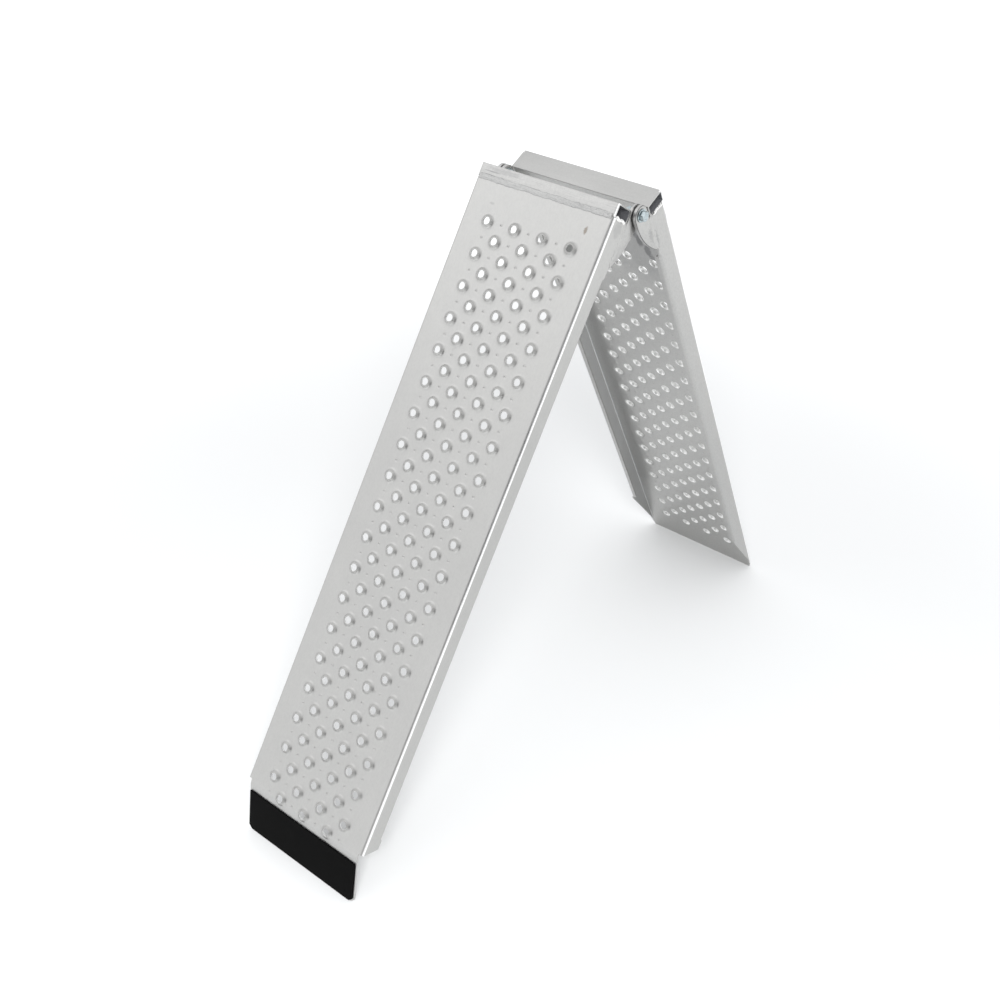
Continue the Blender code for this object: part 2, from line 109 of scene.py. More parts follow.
# Pilot marks between the cones, the same way
DOT_TOP = [(3.4, 0), (1.9, -0.05), (1.3, -0.38), (0.6, -0.9)]
DOT_BELOW = [(3.4, -3), (2.4, -3.06), (1.6, -3.3), (0.7, -3.6)]
CELL_STEPS = 6                   # edges along each side of a hole's square cell
BRIGHT_RINGS = {UPPER: 4, LOWER: 3}  # the ring past which a cone's inner wall is rubbed bright and painted lighter as a highlight

rng = np.random.default_rng(7)


def leg_matrix(side):
    shift = Vector((side * SIDE_SHIFT / 2, 0, 0))
    return Matrix.Translation(PIVOT + shift) @ Matrix.Rotation(-side * SLOPE[side], 4, "X")


LEG = {side: leg_matrix(side) for side in (UPPER, LOWER)}


# ---------------------------------------------------------------- materials

class Nodes:
    """A material's node tree, with short ways to add and join nodes."""

    def __init__(self, name, color, metallic, roughness, side=UPPER):
        self.material = bpy.data.materials.new(name)
        self.material.use_nodes = True
        self.tree = self.material.node_tree
        self.shader = self.tree.nodes["Principled BSDF"]
        self.shader.inputs["Base Color"].default_value = (*color, 1)
        self.shader.inputs["Metallic"].default_value = metallic
        self.shader.inputs["Roughness"].default_value = roughness
        # Pieces lie in the row frame, and the grain follows the half's own frame.
        unturned = self.add("ShaderNodeMapping", vector_type="TEXTURE")
        unturned.inputs["Location"].default_value = LEG[side].to_translation()
        unturned.inputs["Rotation"].default_value = LEG[side].to_euler()
        self.link(self.tree.nodes.new("ShaderNodeTexCoord").outputs["Object"], unturned.inputs["Vector"])
        self.place = unturned.outputs["Vector"]

    def add(self, kind, **values):
        node = self.tree.nodes.new(kind)
        for key, value in values.items():
            setattr(node, key, value)
        return node

    def link(self, source, target):
        self.tree.links.new(source, target)

    def scaled(self, scale, offset=(0, 0, 0)):
        node = self.add("ShaderNodeMapping")
        node.inputs["Scale"].default_value = scale
        node.inputs["Location"].default_value = offset
        self.link(self.place, node.inputs["Vector"])
        return node.outputs["Vector"]

    def noise(self, scale, detail=3, rough=0.55, offset=(0, 0, 0)):
        """Noise whose grain is 1/scale metres along each axis."""
        node = self.add("ShaderNodeTexNoise")
        node.inputs["Scale"].default_value = 1
        node.inputs["Detail"].default_value = detail
        node.inputs["Roughness"].default_value = rough
        self.link(self.scaled(scale, offset), node.inputs["Vector"])
        return node.outputs["Fac"]

    def math(self, operation, first, second=None):
        node = self.add("ShaderNodeMath", operation=operation)
        for socket, value in zip(node.inputs, (first, second)):
            if value is None:
                continue
            if isinstance(value, (int, float)):
                socket.default_value = value
            else:
                self.link(value, socket)
        return node.outputs[0]

    def span(self, value, low, high, to_low=0.0, to_high=1.0):
        node = self.add("ShaderNodeMapRange")
        node.interpolation_type = "SMOOTHSTEP"
        self.link(value, node.inputs["Value"])
        for name, number in zip(("From Min", "From Max", "To Min", "To Max"), (low, high, to_low, to_high)):
            node.inputs[name].default_value = number
        return node.outputs["Result"]

    def spot(self, center, size, wobble=0.35, grain=220):
        """1 inside an ellipsoid about a point, 0 outside, with a ragged edge."""
        shift = self.add("ShaderNodeVectorMath", operation="SUBTRACT")
        self.link(self.place, shift.inputs[0])
        shift.inputs[1].default_value = center
        shape = self.add("ShaderNodeVectorMath", operation="DIVIDE")
        self.link(shift.outputs[0], shape.inputs[0])
        shape.inputs[1].default_value = size
        length = self.add("ShaderNodeVectorMath", operation="LENGTH")
        self.link(shape.outputs[0], length.inputs[0])
        ragged = self.math("ADD", length.outputs["Value"],
                           self.math("MULTIPLY", self.math("SUBTRACT", self.noise((grain,) * 3, 4), 0.5), wobble * 4))
        return self.span(ragged, 0.6, 1.15, 1.0, 0.0)

    def tint(self, color, amount, target):
        """Mixes a colour (a tuple or a socket) towards another by an amount socket."""
        mix = self.add("ShaderNodeMix", data_type="RGBA")
        self.link(amount, mix.inputs["Factor"])
        for socket, value in ((mix.inputs[6], color), (mix.inputs[7], target)):
            if isinstance(value, tuple):
                socket.default_value = (*value, 1)
            else:
                self.link(value, socket)
        return mix.outputs[2]

    def blend_colors(self, fac, low, high):
        ramp = self.add("ShaderNodeValToRGB")
        ramp.color_ramp.elements[0].color = (*low, 1)
        ramp.color_ramp.elements[1].color = (*high, 1)
        ramp.color_ramp.elements[0].position = 0.25
        ramp.color_ramp.elements[1].position = 0.75
        self.link(fac, ramp.inputs["Fac"])
        return ramp.outputs["Color"]

    def bump(self, height, strength, distance, below=None):
        node = self.add("ShaderNodeBump")
        node.inputs["Strength"].default_value = strength
        node.inputs["Distance"].default_value = distance
        self.link(height, node.inputs["Height"])
        if below:
            self.link(below, node.inputs["Normal"])
        return node.outputs["Normal"]

    def finish(self, color=None, rough=None, normal=None):
        for name, source in (("Base Color", color), ("Roughness", rough), ("Normal", normal)):
            if source is not None:
                self.link(source, self.shader.inputs[name])
        return self.material


def split(m):
    """Distance from the middle of the ramp, and height, of a point in its half's own frame."""
    parts = m.add("ShaderNodeSeparateXYZ")
    m.link(m.place, parts.inputs[0])
    return m.math("ABSOLUTE", parts.outputs["X"]), parts.outputs["Z"]


def painted_fold_highlight(m):
    """Where the folded corner is painted bright: a painted highlight along the fold."""
    across, height = split(m)
    on_arc = m.math("MULTIPLY", m.span(across, 0.1102, 0.1112), m.span(height, 0.0436, 0.0448))
    return m.math("MULTIPLY", on_arc, m.span(across, 0.11244, 0.11249, 1.0, 0.6))


def painted_crease_shade(m):
    """A faint dark line beside the fold: painted shade in the crease."""
    across, height = split(m)
    inner = m.math("MULTIPLY", m.span(across, 0.1082, 0.1090), m.span(across, 0.1094, 0.1100, 1.0, 0.0))
    return m.math("MULTIPLY", inner, m.span(height, 0.047, 0.0475))


def sheet_metal(name, side, base=0.52, marks=(), mottling=0.10, brushed=0.0):
    """Mill-finish aluminium sheet: fine rolling grain along the half, faint clouds and small marks, with a painted
    highlight along the fold, painted shade beside it and, among the marks, painted shadow and light.
    """
    m = Nodes(name, (base, base, base), 1.0, 0.42, side)
    grain = m.noise((2600, 60, 2600), 2, 0.5)
    cloud = m.noise((14, 9, 14), 4, 0.6)
    speck = m.noise((900, 700, 900), 2, 0.5)
    mottle = m.noise((420, 260, 420), 3, 0.7, (5, 2, 0))
    color = m.blend_colors(cloud, (base * 0.96, base * 0.955, base * 0.935), (base * 1.04, base * 1.035, base * 1.01))
    color = m.tint(color, m.span(grain, 0.35, 0.75, 0.0, 0.10), (base * 0.82, base * 0.83, base * 0.84))
    color = m.tint(color, m.span(speck, 0.66, 0.82, 0.0, 0.22), (base * 0.75, base * 0.75, base * 0.75))
    color = m.tint(color, m.span(mottle, 0.38, 0.66, 0.0, mottling), (base * 0.6, base * 0.6, base * 0.6))
    # A painted shade line beside the fold.
    color = m.tint(color, m.math("MULTIPLY", painted_crease_shade(m), 0.25), (base * 0.45, base * 0.45, base * 0.46))
    # A painted highlight along the fold, fuller where the clouds are lighter.
    color = m.tint(color, m.math("MULTIPLY", painted_fold_highlight(m), m.span(cloud, 0.2, 0.7, 0.75, 1.0)), (0.97, 0.97, 0.97))
    # Marks: real stains and scuffs, and also painted shadow, shade and light where the mark tables say so.
    for center, size, wobble, grain_size, tone, amount in marks:
        mask = m.math("MULTIPLY", m.spot(center, size, wobble, grain_size), amount)
        color = m.tint(color, mask, tone)
    rough = m.math("ADD", m.span(cloud, 0.3, 0.7, 0.35, 0.41), m.span(grain, 0.3, 0.7, -0.03, 0.04))
    # The cones' outer walls are duller than the flat sheet.
    rough = m.math("ADD", rough, m.span(split(m)[1], 0.0488, 0.0505, 0.0, 0.20))
    normal = m.bump(grain, 0.10, 0.00006)
    if brushed:
        stroke = m.noise((35, 1500, 1500), 4, 0.75, (9, 4, 0))
        color = m.tint(color, m.span(stroke, 0.45, 0.75, 0.0, brushed), (base * 0.45, base * 0.45, base * 0.46))
        normal = m.bump(stroke, 0.3, 0.0003, normal)
    normal = m.bump(speck, 0.10, 0.00008, normal)
    normal = m.bump(mottle, 0.14, 0.00030, normal)
    normal = m.bump(m.noise((55, 40, 55), 2), 0.16, 0.0012, normal)
    return m.finish(color, rough, normal)


def ground_metal(name, side, base=0.5):
    """Weld metal ground nearly flush: scratches along the seam, smears, grit and pits, coarser at the right end."""
    m = Nodes(name, (base, base, base), 1.0, 0.4, side)
    scratch = m.noise((90, 1300, 1300), 3, 0.7)
    smear = m.noise((45, 420, 420), 4, 0.75, (3, 1, 0))
    grit = m.noise((650, 560, 560), 3, 0.75, (1, 7, 0))
    parts = m.add("ShaderNodeSeparateXYZ")
    m.link(m.place, parts.inputs[0])
    coarse = m.span(parts.outputs["X"], -0.02, 0.09, 0.35, 1.0)
    color = m.blend_colors(smear, (base * 0.88, base * 0.88, base * 0.87), (base * 1.1, base * 1.1, base * 1.08))
    color = m.tint(color, m.span(scratch, 0.5, 0.72, 0.0, 0.3), (base * 0.5, base * 0.5, base * 0.51))
    color = m.tint(color, m.math("MULTIPLY", m.span(grit, 0.52, 0.66, 0.0, 0.6), coarse),
                   (base * 0.42, base * 0.42, base * 0.43))
    rim = m.add("ShaderNodeAttribute", attribute_name="rim").outputs["Fac"]
    color = m.tint(color, m.math("MULTIPLY", rim, m.span(m.noise((120, 300, 300), 2), 0.3, 0.5, 0.3, 0.75)),
                   (base * 0.38, base * 0.38, base * 0.39))
    rough = m.span(scratch, 0.3, 0.7, 0.34, 0.55)
    normal = m.bump(scratch, 0.5, 0.0004)
    normal = m.bump(grit, 0.45, 0.0009, normal)
    return m.finish(color, rough, normal)


def bead_metal(name, base=0.9):
    """Bright weld bead with heat-tinted valleys."""
    m = Nodes(name, (base, base, base), 1.0, 0.28)
    lumps = m.noise((420, 420, 420), 3, 0.6)
    color = m.blend_colors(lumps, (base * 0.78, base * 0.77, base * 0.74), (base * 1.2, base * 1.2, base * 1.2))
    rough = m.span(lumps, 0.35, 0.7, 0.36, 0.2)
    return m.finish(color, rough, m.bump(lumps, 0.5, 0.0006))


def zinc(name, base=(0.44, 0.50, 0.52)):
    """Blue zinc plate: a cool tint that drifts a little, and fine machining rings."""
    m = Nodes(name, base, 1.0, 0.26)
    drift = m.noise((160, 160, 160), 3)
    turned = m.noise((300, 2600, 2600), 2)
    color = m.blend_colors(drift, tuple(c * 0.82 for c in base), tuple(min(1, c * 1.16) for c in base))
    rough = m.span(drift, 0.3, 0.7, 0.2, 0.34)
    return m.finish(color, rough, m.bump(turned, 0.12, 0.0001))


def steel(name, base=0.34):
    m = Nodes(name, (base, base, base), 1.0, 0.4)
    cloud = m.noise((240, 240, 240), 4, 0.6)
    color = m.blend_colors(cloud, (base * 0.75, base * 0.74, base * 0.72), (base * 1.2, base * 1.2, base * 1.2))
    return m.finish(color, m.span(cloud, 0.3, 0.7, 0.3, 0.5), m.bump(cloud, 0.2, 0.0002))


def burnish_with_painted_highlight(name, side, base):
    """The cones' inner walls, rubbed bright by the punch and painted lighter still as a painted highlight, with
    drawing lines round them.
    """
    m = Nodes(name, (base, base, base), 1.0, 0.42, side)
    drawn = m.noise((900, 900, 2600), 3, 0.6)
    color = m.blend_colors(drawn, (base * 0.8, base * 0.8, base * 0.79), (base * 1.05, base * 1.05, base * 1.04))
    return m.finish(color, m.span(drawn, 0.3, 0.7, 0.36, 0.5), m.bump(drawn, 0.15, 0.0001))


def shade_painted_inside(name):
    """The unlit inside of the end tubes, painted dark as shade, with a faint mottle."""
    m = Nodes(name, (0.2, 0.2, 0.21), 0.0, 0.6)
    shade_mottle = m.noise((560, 560, 560), 4, 0.7)
    color = m.blend_colors(shade_mottle, (0.03, 0.031, 0.034), (0.13, 0.132, 0.14))
    return m.finish(color, m.span(shade_mottle, 0.3, 0.7, 0.5, 0.75), m.bump(shade_mottle, 0.3, 0.0004))


def rubber(name):
    """Flat black grip pad: a close, fine grain with slightly lighter rubbed grains."""
    m = Nodes(name, (0.006, 0.006, 0.006), 0.0, 0.85)
    m.shader.inputs["Specular IOR Level"].default_value = 0.05
    grain = m.noise((1500, 1500, 1500), 3, 0.6)
    worn = m.noise((45, 45, 45), 4, 0.6)
    color = m.blend_colors(grain, (0.002, 0.002, 0.002), (0.005, 0.005, 0.005))
    color = m.tint(color, m.span(worn, 0.55, 0.8, 0.0, 0.3), (0.008, 0.008, 0.0078))
    return m.finish(color, m.span(grain, 0.3, 0.7, 0.74, 0.92), m.bump(grain, 0.55, 0.00035))


# ---------------------------------------------------------------- making pieces

def new_piece(name, mesh, side, materials, replaced=(), sharp=35):
    """Puts a mesh drawn in a half's frame in place, and ties it to the frame."""
    piece = bpy.data.objects.new(name, mesh)
    bpy.context.scene.collection.objects.link(piece)
    for material in materials:
        mesh.materials.append(material)
    for face in mesh.polygons:
        face.use_smooth = True
    mesh.set_sharp_from_angle(angle=math.radians(sharp))
    mesh.transform(LEG[side])
    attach(piece, BODY[side])
    if replaced:
        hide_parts(*replaced)
    return piece


def mesh_from(name, points, faces, flip=False):
    mesh = bpy.data.meshes.new(name)
    if flip:
        faces = [tuple(reversed(face)) for face in faces]
    mesh.from_pydata([tuple(p) for p in points], [], faces)
    mesh.update()
    return mesh


def face_outwards(mesh):
    work = bmesh.new()
    work.from_mesh(mesh)
    bmesh.ops.recalc_face_normals(work, faces=work.faces)
    work.to_mesh(mesh)
    work.free()


def rim_faces(faces, offset):
    """Faces that join a skin's open edges to those of its copy, whose points come offset later."""
    used = dict.fromkeys((a, b) for face in faces for a, b in zip(face, face[1:] + face[:1]))
    return [(b, a, offset + a, offset + b) for a, b in used if (b, a) not in used]


def bevelled_node(name, node, side, materials, width, segments=2):
    """A CAD node's own shape with its edges broken, drawn in a half's frame. Where there are three materials, the
    second is for its cut edges and the third for the corners along them, painted dark as shade."""
    mesh = frame["nodes"][node].data.copy()
    mesh.materials.clear()
    mesh.transform(LEG[side].inverted())
    work = bmesh.new()
    work.from_mesh(mesh)
    bmesh.ops.remove_doubles(work, verts=work.verts, dist=0.00001)
    bmesh.ops.dissolve_limit(work, angle_limit=math.radians(1.5), verts=work.verts, edges=work.edges)
    edges = [edge for edge in work.edges if len(edge.link_faces) == 2
             and edge.calc_face_angle(0) > math.radians(35)]
    bmesh.ops.bevel(work, geom=edges, offset=width, segments=segments, affect="EDGES", clamp_overlap=True, profile=0.5)
    bmesh.ops.triangulate(work, faces=[face for face in work.faces if len(face.verts) > 4])
    if len(materials) > 1:
        # Along the free edges: the cut face, and the corners beside it painted dark as shade.
        work.normal_update()
        for face in work.faces:
            flat, free = abs(face.normal.x), face.calc_center_median().z < EAR_FREE
            face.material_index = 0 if flat > 0.95 or not free else 1 if flat < 0.3 else 2
    work.to_mesh(mesh)
    work.free()
    mesh.name = name
    return new_piece(name, mesh, side, materials, (node,))


# ---------------------------------------------------------------- channel skins

def section_points():
    """The outer skin across the channel, left to right: a kind, its measure and its side."""
    cells = 7 * CELL_STEPS
    deck = [(-3.5 + i / CELL_STEPS) * HOLE_STEP for i in range(cells + 1)]
    margin = [85 * MM, 90.5 * MM, 96 * MM, 101 * MM, LIP_HALF, 107.5 * MM]
    right = [("deck", x, 1) for x in margin]
    right += [("fold", math.radians(a), 1) for a in range(0, 91, 15)]
    right += [("flange", t, 1) for t in (0.02, 0.15, 0.35, 0.55, 0.75, 0.9, 0.98, 1.0)]
    right += [("bottom", t, 1) for t in (0.12, 0.24, 0.36, 0.48, 0.6, 0.78, 1.0)]
    left = [(kind, value, -1) for kind, value, _ in reversed(right)]
    return left + [("deck", abs(x), 1 if x >= 0 else -1) for x in deck] + right


def stations(side):
    """Distances along a half at which its skin has points."""
    first = FIRST_ROW[side] - HOLE_STEP / 2
    last = first + ROWS[side] * HOLE_STEP
    before = [DECK_START, DECK_START + 0.5 * MM] + list(np.linspace(24 * MM, first, 7 if side == UPPER else 18)[:-1])
    cells = [first + i * HOLE_STEP / CELL_STEPS for i in range(ROWS[side] * CELL_STEPS + 1)]
    end = LIP_PATH_END if side == UPPER else LOWER_END
    after = list(np.linspace(last, end - 2 * MM, 11)[1:]) + [end - 0.5 * MM, end]
    return before + cells + after, len(before)


def depth_at(side, s):
    """Deck's top face to the flange's lowest edge."""
    if side == LOWER and s > TAPER[0]:
        t = min(1, (s - TAPER[0]) / (TAPER[1] - TAPER[0]))
        return DEPTH + (FOLD - DEPTH) * t
    return DEPTH


def return_width(side, s):
    """Width of the return lip inside the flange's inner face, with round corners at both ends."""
    start, end = RETURN_SPAN[side]
    radius = RETURN - SHEET
    run = min(s - start, end - s)
    if run <= 0:
        return 0.0
    if run >= radius:
        return radius
    return math.sqrt(radius ** 2 - (radius - run) ** 2)


def section_vertex(side, kind, value, sign, s):
    """Outer and inner points (x, s, z) of the skin for one section point at one station."""
    start, end = RETURN_SPAN[side]
    depth = depth_at(side, s)
    bottom_radius = FOLD if return_width(side, s) > 0 else EDGE
    shifted = s
    if kind == "bottom":
        for corner, direction in ((start, 1), (end, -1)):
            run = (s - corner) * direction
            if 0 <= run <= CORNER_REACH:
                moved = corner + direction * (RETURN - SHEET) * (run / CORNER_REACH) ** 2
                shifted += (moved - s) * min(1, 2 * value)
    if side == UPPER and s <= FLANGE_END + 0.1 * MM and kind in ("flange", "bottom"):
        pull = max(0.0, (s - RAKE_START) / (FLANGE_END - RAKE_START))
        shifted -= pull * (FLANGE_RAKE * value if kind == "flange" else FLANGE_RAKE + RETURN_RAKE * value)
    if kind == "deck":
        outer, normal = (value, 0.0), (0, 1)
    elif kind == "fold":
        normal = (math.sin(value), math.cos(value))
        outer = (HALF_WIDTH - FOLD + FOLD * normal[0], -FOLD + FOLD * normal[1])
    elif kind == "flange":
        normal = (1, 0)
        outer = (HALF_WIDTH, -FOLD - value * max(0.0, depth - FOLD - bottom_radius))
    else:
        width = return_width(side, shifted)
        arc_x = HALF_WIDTH - bottom_radius
        inner_x = HALF_WIDTH - SHEET - width
        full_arc = bottom_radius * math.pi / 2
        if inner_x >= arc_x:
            length = bottom_radius * math.acos(min(1, (inner_x - arc_x) / bottom_radius))
        else:
            length = full_arc + arc_x - inner_x
        run = value * length
        angle = min(run / bottom_radius, math.pi / 2)
        normal = (math.cos(angle), -math.sin(angle))
        outer = (HALF_WIDTH - bottom_radius + bottom_radius * normal[0] - max(0.0, run - full_arc),
                 -(depth - bottom_radius) + bottom_radius * normal[1])
    inner = (outer[0] - SHEET * normal[0], outer[1] - SHEET * normal[1])
    if kind == "bottom":
        share = min(1.0, 3 * return_width(side, shifted) / (RETURN - SHEET))
        plain = (HALF_WIDTH - SHEET, outer[1])
        inner = tuple(share * a + (1 - share) * b for a, b in zip(inner, plain))
    clip = (s - LOWER_END + END_CORNER[1]) / END_CORNER[1]
    if side == LOWER and clip > 0:
        limit, floor = HALF_WIDTH - END_CORNER[0] * clip, -FOLD + (FOLD - SHEET) * clip
        outer = (min(outer[0], limit), max(outer[1], floor))
        inner = (min(inner[0], limit), max(inner[1], floor))
    if side == UPPER and s > FLANGE_END:
        past_corner = max(0.0, (s - LIP_CORNER_START) / (LIP_PATH_END - LIP_CORNER_START))
        shifted -= max(0.0, outer[0] - (LIP_HALF - LIP_CORNER)) * past_corner
    return (sign * outer[0], shifted, outer[1]), (sign * inner[0], shifted, inner[1])


def bend(points, side):
    """Bends the part past the lip's start round its bend, and turns (x, s, z) into the half's frame."""
    x, s, z = (points[:, i].copy() for i in range(3))
    if side == UPPER:
        past = s > LIP_START
        angle = np.clip((s - LIP_START) / LIP_RADIUS, 0, LIP_BEND)
        straight = np.maximum(0, s - LIP_START - LIP_RADIUS * LIP_BEND)
        radius = LIP_RADIUS + z
        new_s = LIP_START + radius * np.sin(angle) + straight * math.cos(LIP_BEND)
        new_z = -LIP_RADIUS + radius * np.cos(angle) - straight * math.sin(LIP_BEND)
        s, z = np.where(past, new_s, s), np.where(past, new_z, z)
    return np.stack([x, side * s, z + DECK_TOP], axis=1)


def dish(points, centers):
    """Height added around the cones, where punching drew the sheet down, and the sheet's slight waves."""
    added = np.zeros(len(points))
    for center in centers:
        near = np.abs(points[:, 1] - center[1]) < 30 * MM
        distance = np.hypot(points[near, 0] - center[0], points[near, 1] - center[1]) / MM
        added[near] -= 0.26 * MM * np.exp(-((distance - 13.5) / 3.6) ** 2)
    wave = np.sin(points[:, 1] * 41 + 1.3) * np.cos(points[:, 0] * 23 + 0.4)
    wave += 0.6 * np.sin(points[:, 1] * 97 + points[:, 0] * 31)
    return added + 0.10 * MM * wave * np.clip((HALF_WIDTH - np.abs(points[:, 0])) / (40 * MM), 0, 1)


def cell_ring(column, row):
    """Grid places round the square cell that starts at a column and row of the skin."""
    ring = [(column + k, row) for k in range(CELL_STEPS)] + [(column + CELL_STEPS, row + k) for k in range(CELL_STEPS)]
    ring += [(column + CELL_STEPS - k, row + CELL_STEPS) for k in range(CELL_STEPS)]
    return ring + [(column, row + CELL_STEPS - k) for k in range(CELL_STEPS)]


def punched_rings(center, punched):
    """Rings of outer and inner points (x, s, z) of one cone, a little uneven as the punch left it, or pilot mark."""
    tops, belows = (CONE_TOP, CONE_BELOW) if punched else (DOT_TOP, DOT_BELOW)
    grow, rise = 1 + rng.normal(0, 0.015), 1 + rng.normal(0, 0.04)
    lean, facing = rng.uniform(0, 0.12), rng.uniform(0, 2 * math.pi)
    rings = []
    for (top_r, top_z), (below_r, below_z) in zip(tops, belows):
        ring = []
        for k in range(4 * CELL_STEPS):
            angle = math.radians(225) + k * 2 * math.pi / (4 * CELL_STEPS)
            way = np.array([math.cos(angle), math.sin(angle)])
            tilt = 1 + lean * math.cos(angle - facing)
            above = center + way * top_r * MM * grow
            under = center + way * below_r * MM * grow
            if punched:
                height = top_z * rise * tilt
                lower = (below_z + 3) * rise * tilt - 3
            else:
                height, lower = top_z, below_z
            ring.append(((*above, height * MM), (*under, lower * MM)))
        rings.append(ring)
    return rings


def channel_skin(side, materials):
    """One half of the ramp as a closed folded sheet, with every cone and pilot mark. Its second material is for the
    cones' inner walls."""
    section = section_points()
    along, first_cell = stations(side)
    columns, rows = len(section), len(along)
    outer = np.zeros((rows * columns, 3))
    inner = np.zeros((rows * columns, 3))
    for j, s in enumerate(along):
        for i, (kind, value, sign) in enumerate(section):
            outer[j * columns + i], inner[j * columns + i] = section_vertex(side, kind, value, sign, s)
    deck_left = next(i for i, item in enumerate(section) if item[0] == "deck" and item[1] <= 3.5 * HOLE_STEP + 1e-6)
    in_lip = [kind == "deck" and value <= LIP_HALF + 1e-6 for kind, value, _ in section]
    faces = []
    last_cell = first_cell + ROWS[side] * CELL_STEPS
    for j in range(rows - 1):
        s = (along[j] + along[j + 1]) / 2
        for i in range(columns - 1):
            if first_cell <= j < last_cell and deck_left <= i < deck_left + 7 * CELL_STEPS:
                continue
            if side == UPPER and s > FLANGE_END and not (in_lip[i] and in_lip[i + 1]):
                continue
            if side == LOWER and s > TAPER[0] and "bottom" in (section[i][0], section[i + 1][0]):
                continue
            a = j * columns + i
            faces.append((a, a + 1, a + 1 + columns, a + columns))
    more_outer, more_inner, count = [], [], rows * columns
    centers, walls = [], []
    for row in range(ROWS[side]):
        for column in range(-3, 4):
            corner = deck_left + (column + 3) * CELL_STEPS, first_cell + row * CELL_STEPS
            loop = [j * columns + i for i, j in cell_ring(*corner)]
            punched = (column + row) % 2 == 1
            center = np.array([column * HOLE_STEP, FIRST_ROW[side] + row * HOLE_STEP])
            center += rng.normal(0, 0.12 * MM, 2)
            if punched:
                centers.append(center)
            for depth, ring in enumerate(punched_rings(center, punched)):
                more_outer += [above for above, _ in ring]
                more_inner += [under for _, under in ring]
                fresh = list(range(count, count + len(ring)))
                count += len(ring)
                for k in range(4 * CELL_STEPS):
                    n = (k + 1) % (4 * CELL_STEPS)
                    if punched and depth > BRIGHT_RINGS[side]:
                        walls.append(len(faces))
                    faces.append((loop[k], loop[n], fresh[n], fresh[k]))
                loop = fresh
            if not punched:
                faces.append(tuple(loop))
    outer = np.vstack([outer, np.array(more_outer)])
    inner = np.vstack([inner, np.array(more_inner)])
    for skin, at in ((outer, 0), (inner, -SHEET)):
        flat = (np.abs(skin[:, 0]) < HALF_WIDTH - FOLD) & (skin[:, 2] > at - 1 * MM)
        change = dish(skin, centers)
        skin[flat, 2] += change[flat]
    points = np.vstack([bend(outer, side), bend(inner, side)])
    total = len(outer)
    closed = faces + [tuple(total + v for v in reversed(face)) for face in faces] + rim_faces(faces, total)
    # On the upper half y runs the other way, which turns every face over.
    mesh = mesh_from(LABEL[side] + "_skin", points, closed, flip=side == UPPER)
    for index in walls:
        mesh.polygons[len(faces) + index].material_index = 1
    work = bmesh.new()
    work.from_mesh(mesh)
    bmesh.ops.remove_doubles(work, verts=work.verts, dist=0.000004)
    bmesh.ops.delete(work, geom=[v for v in work.verts if not v.link_faces], context="VERTS")
    work.to_mesh(mesh)
    work.free()
    return new_piece(LABEL[side] + "_skin", mesh, side, materials, (LABEL[side] + "_deck",), 40)


# ---------------------------------------------------------------- tubes

def rounded_rectangle(low, high, radius, steps):
    """Corner points counter-clockwise in (s, z)."""
    points = []
    for (cx, cz), start in (((high[0] - radius, high[1] - radius), 0), ((low[0] + radius, high[1] - radius), 90),
                            ((low[0] + radius, low[1] + radius), 180), ((high[0] - radius, low[1] + radius), 270)):
        for k in range(steps + 1):
            angle = math.radians(start + 90 * k / steps)
            points.append((cx + radius * math.cos(angle), cz + radius * math.sin(angle)))
    return points


def end_tube(side, materials):
    """Rectangular tube with rounded corners, its ends slightly eased, and an inside painted dark as shade."""
    low, high = (TUBE_SPAN[0], DECK_TOP - DEPTH), (TUBE_SPAN[1], DECK_TOP)
    steps = 5
    outline = rounded_rectangle(low, high, 1.3 * MM, steps)
    bore = rounded_rectangle((low[0] + TUBE_WALL, low[1] + TUBE_WALL), (high[0] - TUBE_WALL, high[1] - TUBE_WALL),
                             0.6 * MM, steps)
    center = np.array([(low[0] + high[0]) / 2, (low[1] + high[1]) / 2])
    ease = 0.25 * MM
    rings = []
    for loop, pull, x in ((bore, 0, HALF_WIDTH - ease), (bore, -ease, HALF_WIDTH), (outline, ease, HALF_WIDTH),
                          (outline, 0, HALF_WIDTH - ease)):
        away = [np.array(point) - center for point in loop]
        rings.append((x, [center + way * (1 - pull / np.linalg.norm(way)) for way in away]))
    rings += [(-x, loop) for x, loop in reversed(rings)]
    n = len(outline)
    points, faces, inside = [], [], []
    for x, pts in rings:
        points += [(x, side * p[0], p[1]) for p in pts]
    for r in range(len(rings)):
        nxt = (r + 1) % len(rings)
        for k in range(n):
            m = (k + 1) % n
            faces.append((r * n + k, r * n + m, nxt * n + m, nxt * n + k))
            inside.append(nxt == 0)
    mesh = mesh_from(LABEL[side] + "_tube", points, faces, flip=side == LOWER)
    for face, is_inside in zip(mesh.polygons, inside):
        face.material_index = 1 if is_inside else 0
    return new_piece(LABEL[side] + "_tube", mesh, side, materials, (LABEL[side] + "_end_tube",), 40)


# ---------------------------------------------------------------- hinge hardware

def hexagon(turn):
    """The radius of a hexagon, turned by an angle, as a function of the direction."""
    return lambda angle: HEX_WIDTH / 2 / math.cos(((angle + turn) % (math.pi / 3)) - math.pi / 6)


